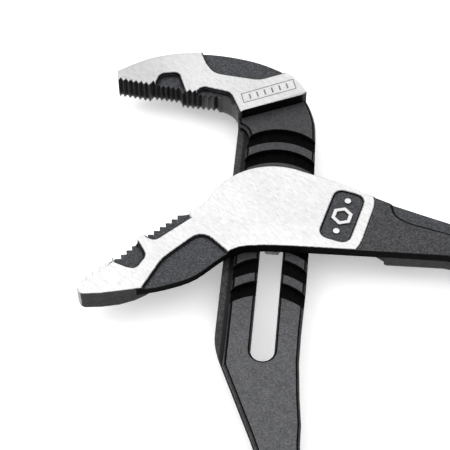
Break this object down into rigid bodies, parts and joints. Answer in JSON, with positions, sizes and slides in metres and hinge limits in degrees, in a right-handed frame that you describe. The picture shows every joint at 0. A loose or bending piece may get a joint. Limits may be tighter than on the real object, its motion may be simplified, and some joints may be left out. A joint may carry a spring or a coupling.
{
  "type": "tongue and groove pliers",
  "caption": "Adjustable slip-joint pliers: a hooked upper jaw on a slotted, grooved shank, a swinging lower jaw lever with a hidden pivot, and two soft grips.",
  "frame": {"origin": "on the pivot's axis, in the plane of the pale ground face of the head plate", "axes": "+Z out of the ground face, through the thickness of the tool; +Y along the slot towards the upper jaw; +X away from the mouth, towards the lower lever's handle"},
  "size_m": [0.232, 0.2433, 0.019],
  "materials": {
    "forged_steel": "dark grey fine-grained forged steel; the flat faces of the jaws and the head plate are ground bright with fine slanting scratches",
    "pivot_steel": "turned dark steel",
    "hard_grip": "hard black plastic with a fine spark texture",
    "grip_inlay": "plain grey plastic",
    "soft_grip": "soft matt black rubber with moulded ribs"
  },
  "bodies": {
    "upper_lever": {"upper_jaw_lever": "forged_steel", "upper_grip_core": "hard_grip", "upper_grip_inlay": "grip_inlay", "upper_grip_palm_pad": "soft_grip", "upper_grip_finger_pad": "soft_grip", "upper_grip_end_cap": "hard_grip"},
    "slider": {"slot_bush": "pivot_steel", "thrust_plate": "pivot_steel"},
    "lower_lever": {"lower_jaw_lever": "forged_steel", "pivot_stud": "pivot_steel", "spring_washer": "pivot_steel", "pivot_nut": "pivot_steel", "lower_grip_core": "hard_grip", "lower_grip_inlay": "grip_inlay", "lower_grip_palm_pad": "soft_grip", "lower_grip_finger_pad": "soft_grip", "lower_grip_end_cap": "hard_grip"}
  },
  "joints": [
    {"name": "groove_slide", "type": "slide", "parent": "upper_lever", "child": "slider", "axis": [0, 1, 0], "range_m": [-0.0385, 0.0154]},
    {"name": "jaw_pivot", "type": "hinge", "parent": "slider", "child": "lower_lever", "pos_m": [0, 0, 0], "axis": [0, 0, -1], "range_deg": [0, 56]}
  ]
}
